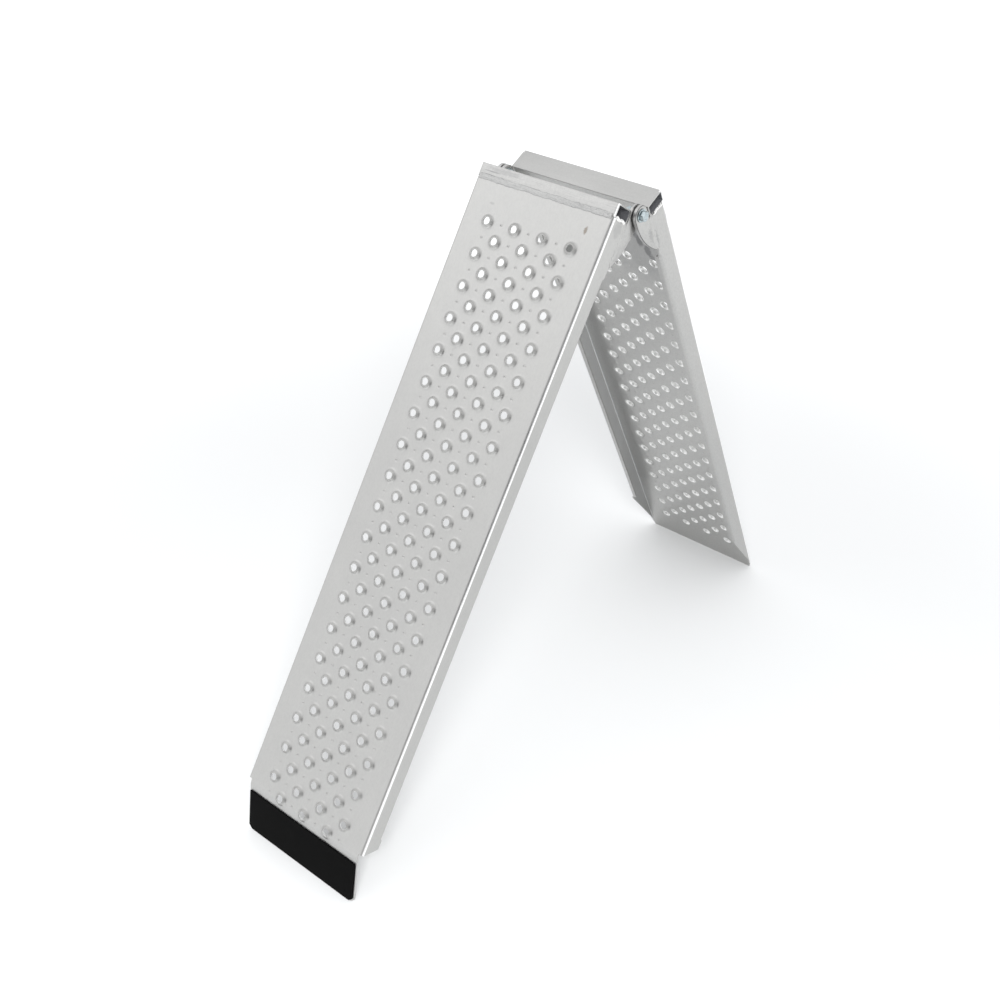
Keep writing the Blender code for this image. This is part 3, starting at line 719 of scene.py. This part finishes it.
def turned(name, side, rings, materials, slot, replaced, sharp, solid=True):
    """A closed body about the hinge axis: rings of (x, radius or function of the angle, height function)."""
    count = 48
    points, faces = [], []
    for x, radius, lift in rings:
        for k in range(count):
            angle = 2 * math.pi * k / count
            r = radius(angle) if callable(radius) else radius
            at = x + (lift(angle, r) if lift else 0)
            points.append((at, r * math.cos(angle), r * math.sin(angle)))
    for i in range(len(rings) - 1):
        for k in range(count):
            n = (k + 1) % count
            faces.append((i * count + k, i * count + n, (i + 1) * count + n, (i + 1) * count + k))
    last = (len(rings) - 1) * count
    if solid:
        faces += [tuple(reversed(range(count))), tuple(range(last, last + count))]
    else:
        faces += [(last + k, last + (k + 1) % count, (k + 1) % count, k) for k in range(count)]
    mesh = mesh_from(name, points, faces)
    face_outwards(mesh)
    return new_piece(name, mesh, side, materials, replaced, sharp)


def hinge_axis_x(node):
    """A node's extent along the hinge axis, in the upper half's frame."""
    low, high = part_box(node)
    shift = LEG[UPPER].translation.x
    return low.x - shift, high.x - shift


def chamfer(direction):
    """How far a hexagon's corners are cut back, towards a direction along the axis."""
    return lambda _angle, r: direction * max(0.0, r - CROWN) * CHAMFER_SLOPE


def hinge_bolt(hand, outward, metal):
    """Hex head bolt with a chamfered head, and thread past the nut."""
    low, high = hinge_axis_x("hinge_bolt_" + hand)
    top, tip = (high, low) if outward > 0 else (low, high)
    seat = top - outward * HEAD_HEIGHT
    six = hexagon(math.radians(11))
    rings = [(top - outward * 0.5 * MM, 2.9 * MM, None), (top - outward * 0.35 * MM, 3.5 * MM, None),
             (top, 4.0 * MM, None), (top, CROWN - 0.3 * MM, None), (top - outward * 0.06 * MM, CROWN, None),
             (top - outward * 0.06 * MM, six, chamfer(-outward)),
             (seat + outward * 0.6 * MM, six, None), (seat + outward * 0.4 * MM, CROWN + 0.1 * MM, None),
             (seat, CROWN, None), (seat, 3.95 * MM, None)]
    thread, steps = 6.5 * MM, 36
    rings.append((tip + outward * thread, 3.95 * MM, None))
    for k in range(steps):
        at = tip + outward * (thread - (thread - 0.6 * MM) * (k + 1) / steps)

        def threaded(angle, turn=abs(at) / THREAD_PITCH):
            return (3.45 + abs(2 * ((turn + angle / (2 * math.pi)) % 1) - 1) * 0.5) * MM

        rings.append((at, threaded, None))
    rings.append((tip, 3.0 * MM, None))
    return turned("bolt_" + hand, UPPER, rings, [metal], "zinc_hardware", ("hinge_bolt_" + hand,), 28)


def lock_nut(hand, outward, metal):
    """Hex nut with both rims chamfered and a rolled collar that holds a locking ring."""
    low, high = hinge_axis_x("lock_nut_" + hand)
    seat, end = (high, low) if outward > 0 else (low, high)
    hex_end = seat - outward * NUT_HEIGHT
    six = hexagon(math.radians(37))
    rings = [(seat, 4.3 * MM, None), (seat, CROWN, None), (seat, six, chamfer(-outward)),
             (hex_end, six, chamfer(outward)), (hex_end, 5.85 * MM, None),
             (hex_end - outward * 1.6 * MM, 5.8 * MM, None), (hex_end - outward * 2.2 * MM, 5.5 * MM, None),
             (end, 5.0 * MM, None), (end, 4.7 * MM, None), (end + outward * 0.4 * MM, 4.5 * MM, None),
             (end + outward * 0.5 * MM, 4.3 * MM, None)]
    return turned("nut_" + hand, UPPER, rings, [metal], "zinc_hardware", ("lock_nut_" + hand,), 28, False)


# ---------------------------------------------------------------- welds

def wavy_strip(name, side, materials, replaced):
    """Seam weld across the deck, ground down to a low, uneven band with wandering edges."""
    low, high = -HALF_WIDTH + FOLD, HALF_WIDTH - FOLD
    count, across_count = 260, 11
    xs = np.linspace(low, high, count)
    wander = [np.zeros(count), np.zeros(count)]
    local = np.random.default_rng(21 + side)
    for edge in wander:
        for wave, size in ((0.06, 0.35), (0.021, 0.28), (0.007, 0.2), (0.003, 0.12)):
            phase = local.uniform(0, 6.28)
            edge += size * MM * np.sin(xs / wave * 6.28 + phase + 1.4 * np.sin(xs / wave * 2.1))
    ripple = local.normal(0, 1, (count, across_count))
    points, faces = [], []
    for i, x in enumerate(xs):
        near = TUBE_SPAN[1] - 3.6 * MM + wander[0][i]
        far = TUBE_SPAN[1] + 3.9 * MM + wander[1][i]
        for j in range(across_count):
            t = j / (across_count - 1)
            edge = min(1, 6 * min(t, 1 - t))
            height = 0.34 * MM + edge * (0.26 * MM + 0.05 * MM * ripple[i, j] + 0.07 * MM * math.sin(x * 1900 + 3 * t))
            points.append((x, side * (near + (far - near) * t), DECK_TOP + height))
    top = len(points)
    points += [(p[0], p[1], DECK_TOP + 0.28 * MM) for p in points]
    for i in range(count - 1):
        for j in range(across_count - 1):
            a = i * across_count + j
            faces.append((a, a + across_count, a + across_count + 1, a + 1))
            faces.append((top + a, top + a + 1, top + a + across_count + 1, top + a + across_count))
    faces += rim_faces(faces[::2], top)
    mesh = mesh_from(name, points, faces, flip=side == UPPER)
    rim = [1.0 if v % across_count in (0, across_count - 1) else 0.0 for v in range(len(points))]
    mesh.attributes.new("rim", "FLOAT", "POINT").data.foreach_set("value", rim)
    return new_piece(name, mesh, side, materials, replaced, 60)


def scalloped_bead(name, side, start, end, normal, width, height, pitch, materials, replaced, seed, root=None):
    """A run of overlapping weld scallops from start to end, standing on the surface that normal points from. Its
    root, where it has one, is the half width and depth to which it fills the gap under it."""
    start, end, normal = Vector(start), Vector(end), Vector(normal).normalized()
    run = end - start
    length = run.length
    ahead = run.normalized()
    sideways = normal.cross(ahead)
    count = max(24, int(length / (pitch / 7)))
    around = 13
    local = np.random.default_rng(seed)
    scallops = int(length / pitch) + 3
    swell = local.uniform(0.82, 1.15, scallops)
    drift = local.normal(0, 0.14, scallops)
    points, faces = [], []
    for i in range(count + 1):
        t = i / count
        along = t * length / pitch
        index = int(along)
        phase = along - index
        lump = 0.72 + 0.28 * math.sqrt(max(0.0, 1 - (2 * phase - 1) ** 2))
        size = lump * (swell[index] * (1 - phase) + swell[index + 1] * phase)
        size *= math.sin(min(1, 8 * min(t, 1 - t)) * math.pi / 2) * 0.85 + 0.15
        shift = (drift[index] * (1 - phase) + drift[index + 1] * phase) * width
        middle = start + run * t + sideways * shift
        for k in range(around):
            angle = math.pi * k / (around - 1)
            # A scallop's crest leads its edges, like the ripples of a hand weld.
            lag = -0.35 * pitch * (1 - math.sin(angle))
            points.append(middle + sideways * (math.cos(angle) * width / 2 * size)
                          + normal * (math.sin(angle) * height * size) + ahead * lag)
        if root:
            points += [start + run * t + sideways * way * root[0] - normal * root[1] for way in (-1, 1)]
    around = len(points) // (count + 1)
    for i in range(count):
        for k in range(around):
            n = (k + 1) % around
            faces.append((i * around + k, i * around + n, (i + 1) * around + n, (i + 1) * around + k))
    faces.append(tuple(range(around)))
    faces.append(tuple(count * around + k for k in reversed(range(around))))
    mesh = mesh_from(name, points, faces)
    face_outwards(mesh)
    return new_piece(name, mesh, side, materials, replaced, 50)


# ---------------------------------------------------------------- the ramp

# Marks: middle, reach, raggedness, grain, colour and strength, in the half's own frame
GREY, BROWN = (0.25, 0.25, 0.255), (0.20, 0.16, 0.12)
# The last two tones are painted shadow and painted light.
PAINTED_SHADOW, PAINTED_LIGHT = (0.10, 0.10, 0.105), (0.80, 0.81, 0.82)
UPPER_MARKS = (
    ((0.0795, -0.0455, 0.0485), (0.0026, 0.0055, 0.004), 0.30, 500, BROWN, 0.65),
    ((-0.0728, -0.0491, 0.0485), (0.0045, 0.0018, 0.004), 0.35, 400, GREY, 0.30),
    ((0.1125, -0.030, 0.030), (0.004, 0.012, 0.010), 0.40, 200, GREY, 0.25),
)
LOWER_MARKS = (
    ((0.112, 0.062, 0.016), (0.004, 0.020, 0.006), 0.45, 260, GREY, 0.4),
    ((-0.112, 0.062, 0.016), (0.004, 0.020, 0.006), 0.45, 260, GREY, 0.4),
    # Painted shadow of the lower ear on the underside: a broad grey wash, then darker spots along the ear's edge.
    ((0.060, 0.110, 0.0455), (0.080, 0.095, 0.002), 0.15, 40, GREY, 0.35),
    ((0.047, 0.096, 0.0455), (0.0055, 0.016, 0.002), 0.20, 150, PAINTED_SHADOW, 0.60),
    ((0.054, 0.115, 0.0455), (0.0060, 0.014, 0.002), 0.20, 150, PAINTED_SHADOW, 0.60),
    ((0.064, 0.132, 0.0455), (0.0060, 0.012, 0.002), 0.25, 180, PAINTED_SHADOW, 0.55),
    ((0.070, 0.146, 0.0455), (0.0050, 0.009, 0.002), 0.40, 240, PAINTED_SHADOW, 0.45),
    # Painted light: lighter stripes on the inner face of the left flange and on its return lip.
    ((-0.1095, 0.500, 0.0300), (0.0015, 1.000, 0.030), 0.05, 60, PAINTED_LIGHT, 0.50),
    ((-0.1060, 0.500, 0.0185), (0.0050, 1.000, 0.002), 0.05, 60, PAINTED_LIGHT, 0.50),
    # Painted shade: a grey band on the underside next to the tube, in the gap between the halves.
    ((0.0, 0.035, 0.0455), (0.140, 0.024, 0.002), 0.30, 60, GREY, 0.6),
)
EAR_MARKS = (
    ((0.112, 0.045, 0.008), (0.004, 0.014, 0.004), 0.5, 400, GREY, 0.35),
)
TUBE_MARKS = (
    ((-0.094, -0.0150, 0.0485), (0.013, 0.0012, 0.003), 0.3, 300, GREY, 0.9),
    ((-0.090, -0.0098, 0.0485), (0.014, 0.0008, 0.003), 0.3, 300, GREY, 0.7),
    ((-0.070, -0.0060, 0.0485), (0.030, 0.0040, 0.003), 0.4, 200, GREY, 0.3),
)

skin_metal = {UPPER: sheet_metal("upper sheet", UPPER, marks=UPPER_MARKS),
              LOWER: sheet_metal("lower sheet", LOWER, 0.51, LOWER_MARKS, 0.2)}
plate_metal = {side: sheet_metal(LABEL[side] + " hinge plate", side, 0.52, EAR_MARKS, 0.22)
               for side in (UPPER, LOWER)}
tube_metal = {UPPER: sheet_metal("upper tube wall", UPPER, 0.53, TUBE_MARKS, 0.16, 0.45),
              LOWER: sheet_metal("lower tube wall", LOWER, 0.52, (), 0.12, 0.15)}
cone_wall = {UPPER: burnish_with_painted_highlight("upper cone wall", UPPER, 0.88), LOWER: burnish_with_painted_highlight("lower cone wall", LOWER, 0.95)}
inside = shade_painted_inside("tube inside")
# The cut edges' own tone, and a dark tone that paints shade on the corners along them.
cut_metal, shade_painted_corner = steel("cut edge", 0.5), steel("corner painted as shade", 0.16)
seam_metal = {side: ground_metal(LABEL[side] + " ground seam", side) for side in (UPPER, LOWER)}
bead = bead_metal("weld bead")
zinc_metal = zinc("blue zinc")
plain_metal = steel("plain steel")
pad_rubber = rubber("grip pad rubber")

for side in (UPPER, LOWER):
    label = LABEL[side]
    channel_skin(side, [skin_metal[side], cone_wall[side]])
    end_tube(side, [tube_metal[side], inside])
    wavy_strip(label + "_seam", side, [seam_metal[side]], (label + "_seam_weld",))
    for outward, hand in ((1, "right"), (-1, "left")):
        bevelled_node(f"{label}_ear_{hand}", f"{label}_hinge_ear_{hand}", side,
                      [plate_metal[side], cut_metal, shade_painted_corner], 0.9 * MM, 2)
        face = outward * (HALF_WIDTH + 0.3 * MM)
        scalloped_bead(f"{label}_tube_bead_{hand}", side, (face, side * 18.5 * MM, DECK_TOP - 4.5 * MM),
                       (face, side * 18.5 * MM, DECK_TOP - DEPTH + 4.5 * MM), (outward, 0, 0),
                       5 * MM, 2.1 * MM, 3.8 * MM, [bead], (f"{label}_tube_weld_{hand}",), 5 + side + outward)
        face = outward * HALF_WIDTH
        scalloped_bead(f"{label}_ear_bead_{hand}", side, (face, side * 18 * MM, EAR_JOINT),
                       (face, side * 77 * MM, EAR_JOINT), (outward, 0, 0),
                       7 * MM, 0.45 * MM, 2.6 * MM, [plate_metal[side]], (f"{label}_ear_weld_{hand}",),
                       11 + side + outward, (1.6 * MM, 2.9 * MM))

for outward, hand in ((1, "right"), (-1, "left")):
    hinge_bolt(hand, outward, zinc_metal)
    lock_nut(hand, outward, zinc_metal)
    for place, metal, slot in (("head", zinc_metal, "zinc_hardware"), ("nut", zinc_metal, "zinc_hardware"),
                               ("spacer", plain_metal, "plain_steel")):
        bevelled_node(f"washer_{place}_{hand}", f"{place}_washer_{hand}", UPPER, [metal], 0.3 * MM, 2)

bevelled_node("grip_pad", "lip_grip_pad", UPPER, [pad_rubber], 0.5 * MM, 3)


# ---------------------------------------------------------------- studio

def product(tree, first, second):
    """A value socket multiplied by another or by a number."""
    node = tree.nodes.new("ShaderNodeMath")
    node.operation = "MULTIPLY"
    tree.links.new(first, node.inputs[0])
    if isinstance(second, float):
        node.inputs[1].default_value = second
    else:
        tree.links.new(second, node.inputs[1])
    return node.outputs[0]


def surroundings():
    """White light all round but for a dark stretch low on the right and a strip of light beyond it, and a plain
    white backdrop."""
    world = bpy.data.worlds.new("studio")
    bpy.context.scene.world = world
    world.use_nodes = True
    tree = world.node_tree
    background = tree.nodes["Background"]
    way = tree.nodes.new("ShaderNodeTexCoord").outputs["Generated"]
    light = None
    # Parts of the surroundings: a direction, the cosines at which the part begins and is full, and its light there.
    for direction, low, high, dim in (((0.72, -0.69, 0.07), 0.62, 0.93, 0.07), ((0.55, 0.80, 0.15), 0.4, 0.95, 0.80),
                                      ((0.98, 0.05, 0.14), 0.92, 0.99, 2.2)):
        dot = tree.nodes.new("ShaderNodeVectorMath")
        dot.operation = "DOT_PRODUCT"
        tree.links.new(way, dot.inputs[0])
        dot.inputs[1].default_value = Vector(direction).normalized()
        span = tree.nodes.new("ShaderNodeMapRange")
        span.interpolation_type = "SMOOTHSTEP"
        tree.links.new(dot.outputs["Value"], span.inputs["Value"])
        for key, number in zip(("From Min", "From Max", "To Min", "To Max"), (low, high, 1.0, dim)):
            span.inputs[key].default_value = number
        part = span.outputs["Result"]
        light = part if light is None else product(tree, light, part)
    tree.links.new(product(tree, light, 1.15), background.inputs["Strength"])
    plain = tree.nodes.new("ShaderNodeBackground")
    background.inputs["Color"].default_value = (0.985, 0.99, 1.0, 1)
    plain.inputs["Color"].default_value = (1, 1, 1, 1)
    swap = tree.nodes.new("ShaderNodeMixShader")
    tree.links.new(tree.nodes.new("ShaderNodeLightPath").outputs["Is Camera Ray"], swap.inputs[0])
    tree.links.new(background.outputs[0], swap.inputs[1])
    tree.links.new(plain.outputs[0], swap.inputs[2])
    tree.links.new(swap.outputs[0], tree.nodes["World Output"].inputs["Surface"])


def pale_floor():
    mesh = bpy.data.meshes.new("floor")
    size = 14
    mesh.from_pydata([(-size, -size, 0), (size, -size, 0), (size, size, 0), (-size, size, 0)], [], [(0, 1, 2, 3)])
    floor = bpy.data.objects.new("floor", mesh)
    bpy.context.scene.collection.objects.link(floor)
    pale = bpy.data.materials.new("pale floor")
    pale.use_nodes = True
    shader = pale.node_tree.nodes["Principled BSDF"]
    shader.inputs["Base Color"].default_value = (0.66, 0.667, 0.67, 1)
    shader.inputs["Roughness"].default_value = 0.9
    shader.inputs["Specular IOR Level"].default_value = 0.1
    shader.inputs["Emission Color"].default_value = (1, 1, 1, 1)
    # The lamp reaches less of the floor further out, where the backdrop's own light makes up for it.
    distance = pale.node_tree.nodes.new("ShaderNodeVectorMath")
    distance.operation = "LENGTH"
    glow = pale.node_tree.nodes.new("ShaderNodeMapRange")
    glow.interpolation_type = "SMOOTHSTEP"
    for key, number in zip(("From Min", "From Max", "To Min", "To Max"), (0.7, 2.6, 0.06, 0.5)):
        glow.inputs[key].default_value = number
    links = pale.node_tree.links
    links.new(pale.node_tree.nodes.new("ShaderNodeTexCoord").outputs["Object"], distance.inputs[0])
    links.new(distance.outputs["Value"], glow.inputs["Value"])
    links.new(glow.outputs["Result"], shader.inputs["Emission Strength"])
    mesh.materials.append(pale)


def softboxes():
    """A weak softbox high on the left, and one close to the camera, whose shadow falls behind the ramp."""
    for name, place, size, energy, mirrored in (("left softbox", (-1.6, -1.4, 2.6), 2.2, 6, True),
                                                ("near softbox", (1.45, -2.02, 2.06), 0.9, 80, False)):
        lamp = bpy.data.lights.new(name, "AREA")
        lamp.shape = "SQUARE"
        lamp.size = size
        lamp.energy = energy
        box = bpy.data.objects.new(name, lamp)
        box.location = place
        box.rotation_euler = (Vector((0, 0, 0.4)) - box.location).to_track_quat("-Z", "Y").to_euler()
        box.visible_glossy = mirrored
        bpy.context.scene.collection.objects.link(box)


def camera():
    """Three-quarter view from the front right, above."""
    right = Vector((0.775744, 0.629618, 0.042460))
    down = Vector((0.371028, -0.400643, -0.837749))
    forward = Vector((-0.510451, 0.665633, -0.544402))
    turn = Matrix((right, -down, -forward)).transposed().to_4x4()
    lens = bpy.data.cameras.new("camera")
    lens.sensor_width = 36
    lens.lens = 45.730
    lens.clip_end = 100
    seat = bpy.data.objects.new("camera", lens)
    seat.matrix_world = Matrix.Translation((0.94348, -1.34955, 1.42223)) @ turn
    bpy.context.scene.collection.objects.link(seat)
    bpy.context.scene.camera = seat


surroundings()
pale_floor()
softboxes()
camera()
bpy.context.scene.view_settings.view_transform = "Standard"

import json
